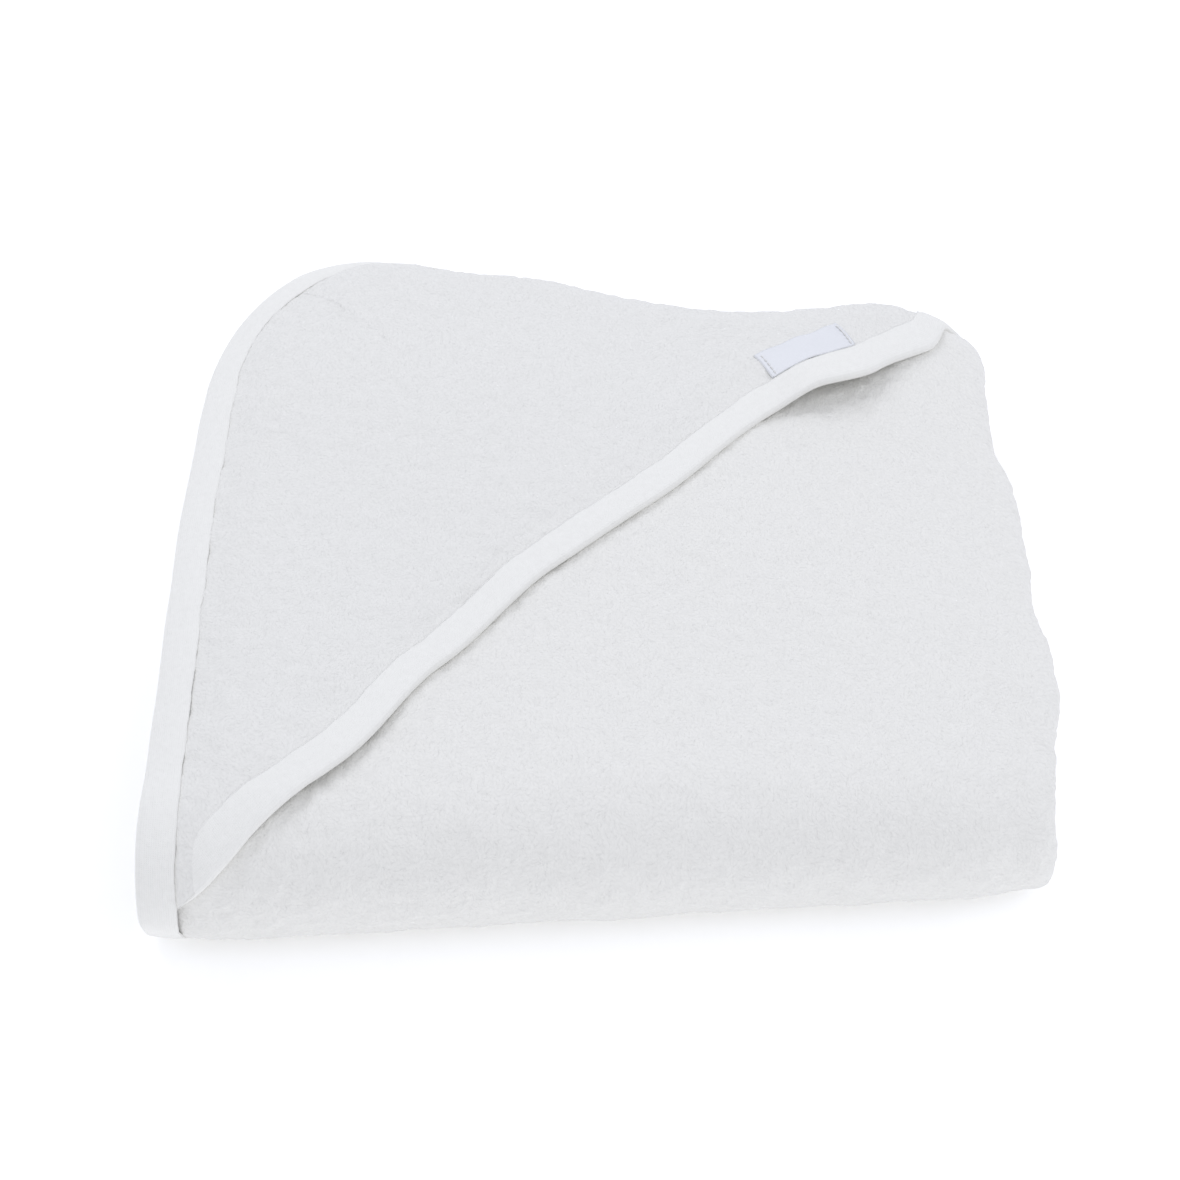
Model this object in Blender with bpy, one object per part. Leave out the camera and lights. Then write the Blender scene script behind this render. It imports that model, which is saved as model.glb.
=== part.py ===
"""Hooded baby towel, folded in three both ways with the hood uppermost. Metres, +Z up.

Every piece is first laid out flat, as it is sewn: u runs right from the towel's left edge, v runs forward from its
back edge, and w runs up through the cloth. folded() then carries a flat point into the folded stack, so the pieces
keep their seams and their clearances through every fold.
"""

import math

import bmesh
import bpy
import numpy as np
from mathutils import Vector
from mathutils.geometry import delaunay_2d_cdt

# Flat pattern
SHEET_SIDE = 0.762
SHEET_CORNER_RADIUS = 0.073
HOOD_LEG = 0.314
TERRY_THICKNESS = 0.0042
HOOD_THICKNESS = 0.0038

# Binding: a jersey tape folded over each edge, which crushes the pile under it
BINDING_WIDTH = 0.012
BINDING_PLY = 0.0005
CRUSHED_TERRY = 0.0012
CRUSHED_HOOD = 0.0012
PILE_RISE = 0.004  # how far from the binding the pile takes to stand up again
CLEARANCE = 0.0003
MOUTH_CLEARANCE = 0.0006  # round the hood's binding, which lies looser

# Thread and label
THREAD_WIDTH = 0.0007
THREAD_HEIGHT = 0.00025
THREAD_CLEARANCE = 0.0004
STITCH_INSET = 0.0013  # from the binding's inner edge
LABEL_LENGTH = 0.031
LABEL_WIDTH = 0.0135
LABEL_THICKNESS = 0.0004
LABEL_U = 0.2225  # the label's middle, as the u of the hood's open edge beside it
LABEL_STITCH_INSET = 0.0012

# Folding across: the left edge stays on top, the right third goes under, the last third lies between
LAYER_PITCH = 0.0058
TOP_WIDTH = 0.276
BOTTOM_WIDTH = 0.250
LEFT_EDGE_X = -0.136

# Folding along: the same again, with the strip that the first folding made
STRIP_GAP = 0.0010
BACK_EDGE_Y = 0.158
FRONT_TURN_Y = (-0.119, -0.101)  # at the left edge, and at the right
BACK_TURN_Y = (0.108, 0.094)
FRONT_STRETCH = 1.15  # the front fold is broader than it is high

# The back of the top strip hangs over the stack
HANG_RADIUS = 0.014
HANG_ANGLE = math.radians(80)
HANG_START = (0.020, 0.048)  # how much cloth hangs at the left, and at the right

# Sag and swell of the whole stack
LEFT_DROOP = 0.005
LEFT_DROOP_X = -0.112
CROWNS = (  # swells: (share of the height, middle x and y, spread x and y)
    (0.07, -0.025, 0.045, 0.110, 0.120),
    (0.12, -0.070, 0.125, 0.075, 0.060),
    (0.11, 0.125, 0.110, 0.060, 0.050),
)
RIGHT_FALL = 0.14
RIGHT_FALL_FROM = (0.053, 0.000)  # distances in from the right edge of the stack
BACK_CORNER_FROM = (0.043, -0.002)
BACK_CORNER_Y = (0.040, 0.110)
BACK_CORNER_PULL = 0.016
LEFT_STRETCH = 0.009  # the cloth is drawn forward along the left edge
LEFT_STRETCH_REACH = 0.13

# How far each side of the stack bellies out, to the right or to the back, by place along it
RIGHT_SIDE = ((-0.092, -0.0020), (-0.060, 0.0040), (-0.020, -0.0030), (0.035, 0.0005), (0.080, -0.0030))
LEFT_SIDE = ((-0.130, 0.0), (0.010, -0.0026), (0.060, -0.0020), (0.110, 0.0))
FRONT_SIDE = ((-0.110, -0.0045), (0.0, -0.0036), (0.080, -0.0022))
BACK_SIDE = ((-0.130, 0.0010), (-0.075, 0.0070), (0.010, 0.0085), (0.060, 0.0040), (0.120, 0.0070))

# The mouth of the hood stands a little open beside the label
LIP_U = 0.228
LIP_LENGTH = 0.022
LIP_DEPTH = 0.024
LIP_HEIGHT = 0.010

TERRY_COLOUR = (0.90, 0.90, 0.89)
JERSEY_COLOUR = (0.92, 0.92, 0.91)
LABEL_COLOUR = (0.93, 0.93, 0.95)
THREAD_COLOUR = (0.94, 0.94, 0.93)

# Worked out from the values above
LAYER_HALF = TERRY_THICKNESS / 2
STRIP_HALF = LAYER_PITCH + LAYER_HALF
INNER_TURN_ACROSS = LAYER_PITCH / 2
BACK_TURN_RADIUS = STRIP_HALF + 0.7 * STRIP_GAP
FRONT_TURN_RADIUS = BACK_TURN_RADIUS + STRIP_HALF + STRIP_GAP / 2
STACK_MIDDLE_Z = FRONT_TURN_RADIUS + STRIP_HALF
FRONT_TURN_LENGTH = math.pi * (FRONT_TURN_RADIUS + LAYER_PITCH) * (1 + FRONT_STRETCH) / 2
BACK_TURN_LENGTH = math.pi * (BACK_TURN_RADIUS + LAYER_PITCH)
RIGHT_EDGE_X = LEFT_EDGE_X + TOP_WIDTH + STRIP_HALF
PANEL_INSET = BINDING_PLY + CLEARANCE
BINDING_END = BINDING_WIDTH + CLEARANCE
HOOD_PANEL_LEG = HOOD_LEG - PANEL_INSET * math.sqrt(2)
MOUTH_DEPTHS = [PANEL_INSET, *np.linspace(PANEL_INSET, BINDING_END, 4)[1:3], BINDING_END, BINDING_END + PILE_RISE]
EDGE_DEPTHS = [PANEL_INSET, BINDING_END, BINDING_END + PILE_RISE]
TURN_SIDE = (0.009, 0.020, 0.032)  # lines beside the turn across, where the back corner is pulled round
MOUTH_END = BINDING_END + PILE_RISE + BINDING_WIDTH / math.sqrt(2)  # the hood's binding stops short of the seams
LABEL_END = BINDING_END + LABEL_WIDTH
HANG_ROWS = (0.020, max(HANG_START) + 0.005)


def smooth(value, start, end):
    """0 before start, 1 after end, with an even slope between."""
    t = np.clip((value - start) / (end - start), 0.0, 1.0)
    return t * t * (3 - 2 * t)


def across(pair, x):
    """A value that goes evenly from the stack's left side to its right."""
    share = (x - LEFT_EDGE_X) / (RIGHT_EDGE_X - LEFT_EDGE_X)
    return pair[0] + (pair[1] - pair[0]) * share


def three_fold(along, off, first, outer_radius, outer_length, second, inner_radius, inner_length):
    """(distance, height) of cloth folded in three: a top run, a turn down, a bottom run, a turn up, a middle run.

    along is measured on the cloth and off is square to it. Height 0 is half-way between the top and bottom runs.
    """
    on_outer = along - first
    on_second = on_outer - outer_length
    on_inner = on_second - second
    on_third = on_inner - inner_length
    outer_angle = math.pi * on_outer / outer_length
    inner_angle = math.pi * on_inner / inner_length
    inner_start = first - second
    inner_middle = inner_radius - outer_radius
    distance = np.select(
        [on_outer < 0, on_second < 0, on_inner < 0, on_third < 0],
        [
            along,
            first + (outer_radius + off) * np.sin(outer_angle),
            first - on_second,
            inner_start - (inner_radius + off) * np.sin(inner_angle),
        ],
        inner_start + on_third,
    )
    height = np.select(
        [on_outer < 0, on_second < 0, on_inner < 0, on_third < 0],
        [
            outer_radius + off,
            (outer_radius + off) * np.cos(outer_angle),
            -outer_radius - off,
            inner_middle - (inner_radius + off) * np.cos(inner_angle),
        ],
        inner_middle + inner_radius + off,
    )
    return distance, height


def fold_across(u, v, w, x_front_turn):
    """(x, height in the strip) after the first folding."""
    distance, height = three_fold(
        u, w, TOP_WIDTH, LAYER_PITCH, math.pi * LAYER_PITCH,
        BOTTOM_WIDTH, INNER_TURN_ACROSS, math.pi * INNER_TURN_ACROSS,
    )
    x = LEFT_EDGE_X + distance
    front = BACK_EDGE_Y - x_front_turn
    on_top = (u < TOP_WIDTH) * (1 - smooth(v, front - 0.02, front + 0.02))
    droop = np.clip((LEFT_DROOP_X - x) / (LEFT_DROOP_X - LEFT_EDGE_X), 0, None) ** 2
    return x, height - LEFT_DROOP * droop * on_top


def fold_along(x, v, height):
    """(y, z) after the second folding, with the back of the top strip hanging."""
    front_turn = across(FRONT_TURN_Y, x)
    first = BACK_EDGE_Y - front_turn
    second = across(BACK_TURN_Y, x) - front_turn
    distance, z = three_fold(
        v, height, first, FRONT_TURN_RADIUS, FRONT_TURN_LENGTH, second, BACK_TURN_RADIUS, BACK_TURN_LENGTH,
    )
    start = across(HANG_START, x)
    hanging = np.clip(start - v, 0, None)
    angle = np.clip(hanging / (HANG_RADIUS + LAYER_PITCH), 0, HANG_ANGLE)
    straight = hanging - angle * (HANG_RADIUS + LAYER_PITCH)
    bend = HANG_RADIUS + height
    over = start - bend * np.sin(angle) - straight * math.cos(HANG_ANGLE)
    down = FRONT_TURN_RADIUS - HANG_RADIUS + bend * np.cos(angle) - straight * math.sin(HANG_ANGLE)
    distance = np.where(hanging > 0, over, distance)
    z = np.where(hanging > 0, down, z)
    y = BACK_EDGE_Y - distance
    y = np.where(y < front_turn, front_turn + (y - front_turn) * FRONT_STRETCH, y)
    return y, z + STACK_MIDDLE_Z


def profile(place, stations):
    """A soft curve through stations of (place, amount)."""
    out = np.full(np.shape(place), stations[0][1], float)
    for (start, before), (end, after) in zip(stations, stations[1:]):
        out = out + (after - before) * smooth(place, start, end)
    return out


def settle(x, y, z):
    """The sag and swell that the folded stack has as it lies."""
    from_right = RIGHT_EDGE_X - x
    share = 1 - RIGHT_FALL * (1 - smooth(from_right, *RIGHT_FALL_FROM[::-1])) ** 2
    for height, middle_x, middle_y, spread_x, spread_y in CROWNS:
        share = share + height * np.exp(-(((x - middle_x) / spread_x) ** 2) - ((y - middle_y) / spread_y) ** 2)
    z = z * share
    y = y - BACK_CORNER_PULL * (1 - smooth(from_right, *BACK_CORNER_FROM[::-1])) * smooth(y, *BACK_CORNER_Y)
    at_right = 1 - smooth(from_right, 0.018, 0.088)
    at_left = 1 - smooth(x - LEFT_EDGE_X, 0.016, 0.076)
    new_x = x + profile(y, RIGHT_SIDE) * at_right + profile(y, LEFT_SIDE) * at_left
    y = y + profile(x, FRONT_SIDE) * smooth(-y, 0.07, 0.12) + profile(x, BACK_SIDE) * smooth(y, 0.06, 0.13)
    return new_x, y, z


def lip_lift(u, v):
    """How high the hood's mouth stands open at a flat point."""
    along = (u - v - (2 * LIP_U - HOOD_LEG)) / 2
    inward = np.clip((HOOD_LEG - u - v) / math.sqrt(2), 0, None)
    return LIP_HEIGHT * np.exp(-((along / LIP_LENGTH) ** 2) - (inward / LIP_DEPTH) ** 2)


def folded(u, v, w, on_hood=False):
    """Flat points carried into the folded stack, as an array of (x, y, z)."""
    u, v, w = (np.asarray(value, float) for value in (u, v, w))
    lift = 0.0
    if on_hood:
        lift = lip_lift(u, v)
    v = v + LEFT_STRETCH * smooth(v, 0.05, 0.30) * (1 - smooth(u, 0, LEFT_STRETCH_REACH))
    x, _ = fold_across(u, v, w, 0.0)
    x, height = fold_across(u, v, w, across(FRONT_TURN_Y, x))
    y, z = fold_along(x, v, height)
    x, y, z = settle(x, y, z)
    return np.stack([x, y, z + lift], axis=-1)


def rounded(u, v):
    """Points of the square sheet moved so that its corners are round. A point keeps its distance from the edge."""
    half = SHEET_SIDE / 2
    p, q = u - half, v - half
    reach = np.maximum(abs(p), abs(q))
    radius = np.maximum(SHEET_CORNER_RADIUS - (half - reach), 0)
    from_corner = reach - np.minimum(abs(p), abs(q))
    turned = (1 - from_corner / np.maximum(radius, 1e-9)) * math.pi / 4
    near_side = reach - radius + radius * np.cos(turned)
    far_side = reach - radius + radius * np.sin(turned)
    wide = abs(p) >= abs(q)
    in_corner = from_corner < radius
    new_p = np.where(in_corner, np.sign(p) * np.where(wide, near_side, far_side), p)
    new_q = np.where(in_corner, np.sign(q) * np.where(wide, far_side, near_side), q)
    return half + new_p, half + new_q


def edge_distance(u, v):
    """How far a point of the square sheet is from its nearest edge."""
    half = SHEET_SIDE / 2
    return half - np.maximum(abs(u - half), abs(v - half))


def standing(distance):
    """0 where a binding crushes the pile, 1 where the pile stands."""
    return smooth(distance, BINDING_END, BINDING_END + PILE_RISE)


def panel_half(u, v):
    """Half the terry's thickness at a flat point."""
    return (CRUSHED_TERRY + (TERRY_THICKNESS - CRUSHED_TERRY) * standing(edge_distance(u, v))) / 2


def hood_faces(u, v):
    """(lower, upper) height of the hood panel above the middle of the sheet."""
    seam = standing(edge_distance(u, v))
    mouth = standing((HOOD_LEG - u - v) / math.sqrt(2))
    room_for_tape = BINDING_PLY + 2 * MOUTH_CLEARANCE - CLEARANCE
    lower = panel_half(u, v) + CLEARANCE + room_for_tape * (1 - mouth) * seam
    return lower, lower + CRUSHED_HOOD + (HOOD_THICKNESS - CRUSHED_HOOD) * mouth * seam


def spaced(start, end, step):
    """Evenly spaced values from start to end, at most step apart."""
    return list(np.linspace(start, end, max(2, math.ceil((end - start) / step) + 1)))


def thinned(values, fixed=(), gap=0.003):
    """Sorted values with none closer than gap to another, in which the fixed ones stay."""
    kept = sorted(fixed)
    for value in sorted(values):
        if all(abs(value - other) >= gap for other in kept):
            kept.append(value)
    return sorted(kept)


def column_lines():
    """u lines of the sheet: close together on the two turns across."""
    outer_end = TOP_WIDTH + math.pi * LAYER_PITCH
    inner_start = outer_end + BOTTOM_WIDTH
    inner_end = inner_start + math.pi * INNER_TURN_ACROSS
    turns = spaced(TOP_WIDTH, outer_end, 0.0045) + spaced(inner_start, inner_end, 0.0030)
    beside = [TOP_WIDTH - distance for distance in TURN_SIDE] + [outer_end + distance for distance in TURN_SIDE]
    flats = spaced(0.035, TOP_WIDTH - 0.040, 0.048) + spaced(outer_end + 0.040, inner_start, 0.055)
    return thinned(flats + spaced(inner_end, SHEET_SIDE - 0.035, 0.060), turns + beside, 0.010)


def row_lines():
    """v lines of the sheet: close together where the back hangs and on the two turns along."""
    left, right = BACK_EDGE_Y - FRONT_TURN_Y[0], BACK_EDGE_Y - FRONT_TURN_Y[1]
    back_left = left + FRONT_TURN_LENGTH + BACK_TURN_Y[0] - FRONT_TURN_Y[0]
    back_right = right + FRONT_TURN_LENGTH + BACK_TURN_Y[1] - FRONT_TURN_Y[1]
    front_start, front_end = min(left, right), max(left, right) + FRONT_TURN_LENGTH
    back_start, back_end = min(back_left, back_right), max(back_left, back_right) + BACK_TURN_LENGTH
    turns = spaced(front_start, front_end, 0.0105) + spaced(back_start, back_end, 0.0115)
    flats = spaced(HANG_ROWS[1] + 0.010, front_start, 0.045) + spaced(front_end, back_start, 0.050)
    return thinned(spaced(*HANG_ROWS, 0.0060) + flats + spaced(back_end, SHEET_SIDE - 0.035, 0.050), turns)


def side_stops(side, lines):
    """Where the border's cross-sections stand along one side of the sheet."""
    beside_hood = side in ("back", "left")
    near_corner = spaced(0, SHEET_CORNER_RADIUS, 0.015 if side == "front" else 0.0075)
    far_corner = spaced(0, SHEET_CORNER_RADIUS, 0.0075 if side == "back" else 0.015)
    fixed = near_corner + [SHEET_SIDE - stop for stop in far_corner]
    if beside_hood:
        fixed += [HOOD_PANEL_LEG - BINDING_END, HOOD_PANEL_LEG - PANEL_INSET, HOOD_LEG + 0.003, HOOD_LEG + 0.010]
        reach = SHEET_SIDE if side == "back" else HOOD_LEG
        lines = list(lines) + spaced(SHEET_CORNER_RADIUS, reach, 0.020)
    inner = [line for line in lines if SHEET_CORNER_RADIUS < line < SHEET_SIDE - SHEET_CORNER_RADIUS]
    return thinned(inner, fixed, 0.004)


def border_point(side, stop, distance):
    """A point of the square sheet at a distance in from one side. Cross-sections fan out round a corner."""
    near = min(stop, SHEET_SIDE - stop)
    if near < SHEET_CORNER_RADIUS:
        near = distance + near / SHEET_CORNER_RADIUS * (SHEET_CORNER_RADIUS - distance)
    along = near if stop < SHEET_SIDE / 2 else SHEET_SIDE - near
    far = SHEET_SIDE - distance
    return {"back": (along, distance), "right": (far, along), "front": (along, far), "left": (distance, along)}[side]


def border_rings(columns, rows):
    """(side, stop) of every cross-section round the sheet, in order."""
    rings = [("back", stop) for stop in side_stops("back", columns)[:-1]]
    rings += [("right", stop) for stop in side_stops("right", rows)[:-1]]
    rings += [("front", stop) for stop in side_stops("front", columns)[:0:-1]]
    return rings + [("left", stop) for stop in side_stops("left", rows)[:0:-1]]


def mouth_point(stop, distance):
    """A point of the sheet at a distance in from the hood's open edge. stop is that edge's u."""
    return stop - distance / math.sqrt(2), HOOD_LEG - stop - distance / math.sqrt(2)


def label_columns():
    """Stops of the hood's open edge that face the label."""
    reach = LABEL_LENGTH / 2 / math.sqrt(2)
    return spaced(LABEL_U - reach, LABEL_U + reach, 0.0045)


def label_rows():
    """Distances in from the hood's open edge at which the label is followed."""
    return [BINDING_END, BINDING_END + PILE_RISE, *spaced(BINDING_END + PILE_RISE, LABEL_END, 0.005)[1:]]


def mouth_stops():
    """Where the cross-sections of the hood's binding stand."""
    label = label_columns()
    turn = [stop for stop in spaced(TOP_WIDTH, HOOD_LEG, 0.0032) if stop < HOOD_LEG - MOUTH_END - 0.002]
    front = spaced(MOUTH_END, MOUTH_END + 0.036, 0.006)
    middle = spaced(front[-1], LIP_U - 0.055, 0.028)
    lip = spaced(LIP_U - 0.055, label[0], 0.008) + spaced(label[-1], TOP_WIDTH, 0.008)
    return thinned(middle + lip, front + label + turn + [HOOD_LEG - MOUTH_END])


def sheet_triangles(columns, rows):
    """One triangulation of the flat sheet that the towel panel and the hood share, so that they can't cross."""
    points, links = [], []

    def add_band(chains, ring=False):
        """Chains side by side, each cell between the first ones halved as swept() halves it."""
        first, count = len(points), len(chains[0])
        for number, chain in enumerate(chains):
            start = first + number * count
            points.extend(chain)
            for k in range(count if ring else count - 1):
                after = (k + 1) % count
                links.append((start + k, start + after))
                if number < len(chains) - 2:
                    links.extend([(start + k, start + count + k), (start + k, start + count + after)])

    rings = border_rings(columns, rows)
    add_band([[border_point(side, stop, distance) for side, stop in rings] for distance in EDGE_DEPTHS], ring=True)
    stops = mouth_stops()
    add_band([[mouth_point(stop, distance) for stop in stops] for distance in MOUTH_DEPTHS])
    mouth = len(rings) * len(EDGE_DEPTHS)
    points += [(PANEL_INSET, HOOD_PANEL_LEG - PANEL_INSET), (HOOD_PANEL_LEG - PANEL_INSET, PANEL_INSET)]
    links.extend([(len(points) - 2, mouth), (mouth + len(stops) - 1, len(points) - 1)])
    points += [mouth_point(stop, distance) for stop in label_columns() for distance in label_rows()[2:]]
    around_lip = [stop for stop in spaced(LIP_U - 0.050, LIP_U + 0.040, 0.0095)]
    depths = (LABEL_END + 0.009, LABEL_END + 0.018, LABEL_END + 0.030)
    points += [mouth_point(stop, distance) for stop in around_lip for distance in depths]
    beside = [stop for stop in around_lip if not label_columns()[0] - 0.006 < stop < label_columns()[-1] + 0.006]
    points += [mouth_point(stop, BINDING_END + PILE_RISE + 0.007) for stop in beside]
    taken = len(points)
    hang = [row for row in rows if row < HANG_ROWS[1] + 0.001]
    grid = [(u, v) for u in columns for v in rows]
    grid += [(u, v) for u in thinned(spaced(0.035, SHEET_SIDE - 0.030, 0.020), columns, 0.008) for v in hang]
    seen = np.array(points)
    for u, v in sorted(set(grid)):
        if edge_distance(u, v) < BINDING_END + PILE_RISE + 0.004:
            continue
        if np.hypot(*(seen[:taken] - (u, v)).T).min() < 0.0042:
            continue
        depth = (HOOD_LEG - u - v) / math.sqrt(2)
        if -0.003 < depth < BINDING_END + PILE_RISE + 0.003:
            continue
        points.append((u, v))
    flat = [Vector(point) for point in points]
    found, _, faces, *_ = delaunay_2d_cdt(flat, links, [], 0, 1e-6)
    return np.array([tuple(point) for point in found], float), [tuple(face) for face in faces]


def add_object(name, vertices, faces, material):
    """One closed body with its faces pointing out."""
    mesh = bpy.data.meshes.new(name)
    mesh.from_pydata([tuple(point) for point in vertices], [], faces)
    body = bmesh.new()
    body.from_mesh(mesh)
    bmesh.ops.triangulate(body, faces=body.faces)
    bmesh.ops.recalc_face_normals(body, faces=body.faces)
    body.to_mesh(mesh)
    body.free()
    mesh.materials.append(material)
    mesh.shade_smooth()
    mesh.set_sharp_from_angle(angle=math.radians(40))
    made = bpy.data.objects.new(name, mesh)
    bpy.context.scene.collection.objects.link(made)
    return made


def grid_faces(rows, columns):
    """The cells of a grid as faces."""
    faces = []
    for i in range(rows - 1):
        for j in range(columns - 1):
            a = i * columns + j
            faces.append((a, a + 1, a + 1 + columns, a + columns))
    return faces


def thick_sheet(name, lower, upper, faces, material):
    """A closed body between two copies of a sheet."""
    used = sorted({index for face in faces for index in face})
    place = {index: n for n, index in enumerate(used)}
    count = len(used)
    top = [tuple(place[index] for index in face) for face in faces]
    bottom = [tuple(index + count for index in reversed(face)) for face in top]
    edges = {}
    for face in top:
        for a, b in zip(face, face[1:] + face[:1], strict=True):
            edges[a, b] = edges.get((a, b), 0) + 1
    rim = [(b, a, a + count, b + count) for a, b in edges if (b, a) not in edges]
    return add_object(name, np.concatenate([upper[used], lower[used]]), top + bottom + rim, material)


def swept(name, rings, distances, closed, material):
    """A closed body along rings of points, each ring one cross-section whose points lie at these distances.

    Each cell is halved from its near point on one ring to its far point on the next, as the sheet's cells are.
    """
    count, size = len(rings), len(distances)
    faces = []
    for i in range(count if closed else count - 1):
        here, after = i * size, (i + 1) % count * size
        for k in range(size):
            m = (k + 1) % size
            if distances[k] < distances[m]:
                faces += [(here + k, here + m, after + m), (here + k, after + m, after + k)]
            else:
                faces += [(here + k, here + m, after + k), (here + m, after + m, after + k)]
    if not closed:
        faces.append(tuple(range(size)))
        faces.append(tuple(reversed(range((count - 1) * size, count * size))))
    return add_object(name, np.concatenate(rings), faces, material)


def channel_profile(depth, low, high, between=()):
    """A tape folded over an edge: (distance from the edge, height) round its cross-section."""
    ply = BINDING_PLY
    outward = [depth, *reversed(between)]
    inward = [*between, depth]
    return [
        *((distance, high) for distance in outward), (0.0, high),
        (0.0, low), *((distance, low) for distance in inward),
        *((distance, low + ply) for distance in outward), (ply, low + ply),
        (ply, high - ply), *((distance, high - ply) for distance in inward),
    ]


def thread_profile(inset, low):
    """A flat thread's cross-section, lying on a tape."""
    near, far = inset - THREAD_WIDTH / 2, inset + THREAD_WIDTH / 2
    return [(near, low), (far, low), (inset, low + THREAD_HEIGHT)]


def binding_top(side, stop):
    """The height of the edge binding's upper face: it goes over the hood's seam as well."""
    beside_hood = side in ("back", "left") and stop < HOOD_LEG + 0.006
    under = CRUSHED_TERRY / 2 + CLEARANCE
    return under + (CRUSHED_HOOD + CLEARANCE if beside_hood else 0.0) + BINDING_PLY


def border_sweep(name, rings, profile_at, material):
    """A closed loop round the sheet's edge. profile_at(top) gives the cross-section."""
    sections = []
    for side, stop in rings:
        profile = profile_at(binding_top(side, stop))
        flat = np.array([border_point(side, stop, distance) for distance, _ in profile])
        u, v = rounded(flat[:, 0], flat[:, 1])
        sections.append(folded(u, v, [height for _, height in profile]))
    return swept(name, sections, [distance for distance, _ in profile], True, material)


def mouth_sweep(name, profile, material):
    """A run along the hood's open edge, between the two seams that hold the hood."""
    sections = []
    for stop in mouth_stops():
        flat = np.array([mouth_point(stop, distance) for distance, _ in profile])
        sections.append(folded(flat[:, 0], flat[:, 1], [height for _, height in profile], on_hood=True))
    return swept(name, sections, [distance for distance, _ in profile], False, material)


def make_towel_panel(flat, faces, material):
    half = panel_half(flat[:, 0], flat[:, 1])
    u, v = rounded(flat[:, 0], flat[:, 1])
    return thick_sheet("towel_panel", folded(u, v, -half), folded(u, v, half), faces, material)


def make_hood_panel(flat, faces, material):
    lower, upper = hood_faces(flat[:, 0], flat[:, 1])
    u, v = rounded(flat[:, 0], flat[:, 1])
    inside = flat.sum(axis=1) < HOOD_PANEL_LEG + 1e-5
    kept = [face for face in faces if all(inside[index] for index in face)]
    return thick_sheet("hood_panel", folded(u, v, lower, True), folded(u, v, upper, True), kept, material)


def make_bindings(rings, jersey, thread):
    low = -(CRUSHED_TERRY / 2 + CLEARANCE + BINDING_PLY)
    stitch = BINDING_WIDTH - STITCH_INSET
    under = low - THREAD_CLEARANCE - THREAD_HEIGHT
    border_sweep("edge_binding", rings, lambda top: channel_profile(BINDING_WIDTH, low, top), jersey)
    border_sweep("edge_needle_thread", rings, lambda top: thread_profile(stitch, top + THREAD_CLEARANCE), thread)
    border_sweep("edge_bobbin_thread", rings, lambda top: thread_profile(stitch, under), thread)

    mouth_low = TERRY_THICKNESS / 2 + MOUTH_CLEARANCE
    mouth_high = mouth_low + 2 * BINDING_PLY + 2 * MOUTH_CLEARANCE + CRUSHED_HOOD
    profile = channel_profile(BINDING_WIDTH, mouth_low, mouth_high, MOUTH_DEPTHS[1:3])
    mouth_sweep("hood_binding", profile, jersey)
    mouth_sweep("hood_needle_thread", thread_profile(stitch, mouth_high + THREAD_CLEARANCE), thread)


def label_slab(name, stops, distances, low, thickness, material):
    """A thin piece lying on the hood beside its mouth."""
    flat = np.array([mouth_point(stop, distance) for distance in distances for stop in stops])
    height = hood_faces(flat[:, 0], flat[:, 1])[1] + CLEARANCE + low
    faces = grid_faces(len(distances), len(stops))
    lower = folded(flat[:, 0], flat[:, 1], height, on_hood=True)
    upper = folded(flat[:, 0], flat[:, 1], height + thickness, on_hood=True)
    return thick_sheet(name, lower, upper, faces, material)


def make_label(label, thread):
    stops, distances = label_columns(), label_rows()
    label_slab("hood_label", stops, distances, 0.0, LABEL_THICKNESS, label)
    low = LABEL_THICKNESS + CLEARANCE
    sewn = [distances[0] + LABEL_STITCH_INSET, *distances[1:-1], distances[-1] - LABEL_STITCH_INSET]
    inset, half_width = LABEL_STITCH_INSET / math.sqrt(2), THREAD_WIDTH / 2 / math.sqrt(2)
    for name, middle in (("label_thread_left", stops[0] + inset), ("label_thread_right", stops[-1] - inset)):
        label_slab(name, [middle - half_width, middle + half_width], sewn, low, THREAD_HEIGHT, thread)


def make_material(name, colour, roughness, sheen):
    material = bpy.data.materials.new(name)
    material.use_nodes = True
    shader = material.node_tree.nodes["Principled BSDF"]
    shader.inputs["Base Color"].default_value = (*colour, 1.0)
    shader.inputs["Roughness"].default_value = roughness
    shader.inputs["Sheen Weight"].default_value = sheen
    return material


def centre_on_floor():
    """Moves every piece so that the origin is the bottom centre of the whole towel's box."""
    meshes = [piece.data for piece in bpy.data.objects]
    corners = [np.array([vertex.co for vertex in mesh.vertices]) for mesh in meshes]
    low = np.min([points.min(axis=0) for points in corners], axis=0)
    high = np.max([points.max(axis=0) for points in corners], axis=0)
    shift = np.array([(low[0] + high[0]) / 2, (low[1] + high[1]) / 2, low[2]])
    for mesh, points in zip(meshes, corners, strict=True):
        mesh.vertices.foreach_set("co", (points - shift).astype(np.float32).ravel())
        mesh.update()


def main():
    for leftover in list(bpy.data.objects):
        bpy.data.objects.remove(leftover)
    terry = make_material("terry", TERRY_COLOUR, 0.95, 0.4)
    jersey = make_material("jersey_binding", JERSEY_COLOUR, 0.85, 0.2)
    label = make_material("woven_label", LABEL_COLOUR, 0.6, 0.1)
    thread = make_material("thread", THREAD_COLOUR, 0.6, 0.1)
    columns, rows = column_lines(), row_lines()
    flat, faces = sheet_triangles(columns, rows)
    make_towel_panel(flat, faces, terry)
    make_hood_panel(flat, faces, terry)
    make_bindings(border_rings(columns, rows), jersey, thread)
    make_label(label, thread)
    centre_on_floor()


main()
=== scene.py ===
"""A hooded baby towel folded in three both ways, lying on a white floor under soft studio light.

Every piece is laid out flat as it is sewn (u right from the left edge, v forward from the back edge,
w up through the cloth) and then carried through the folds by folded(), so that seams, tapes and
stitches follow the cloth.
"""

import math

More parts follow.
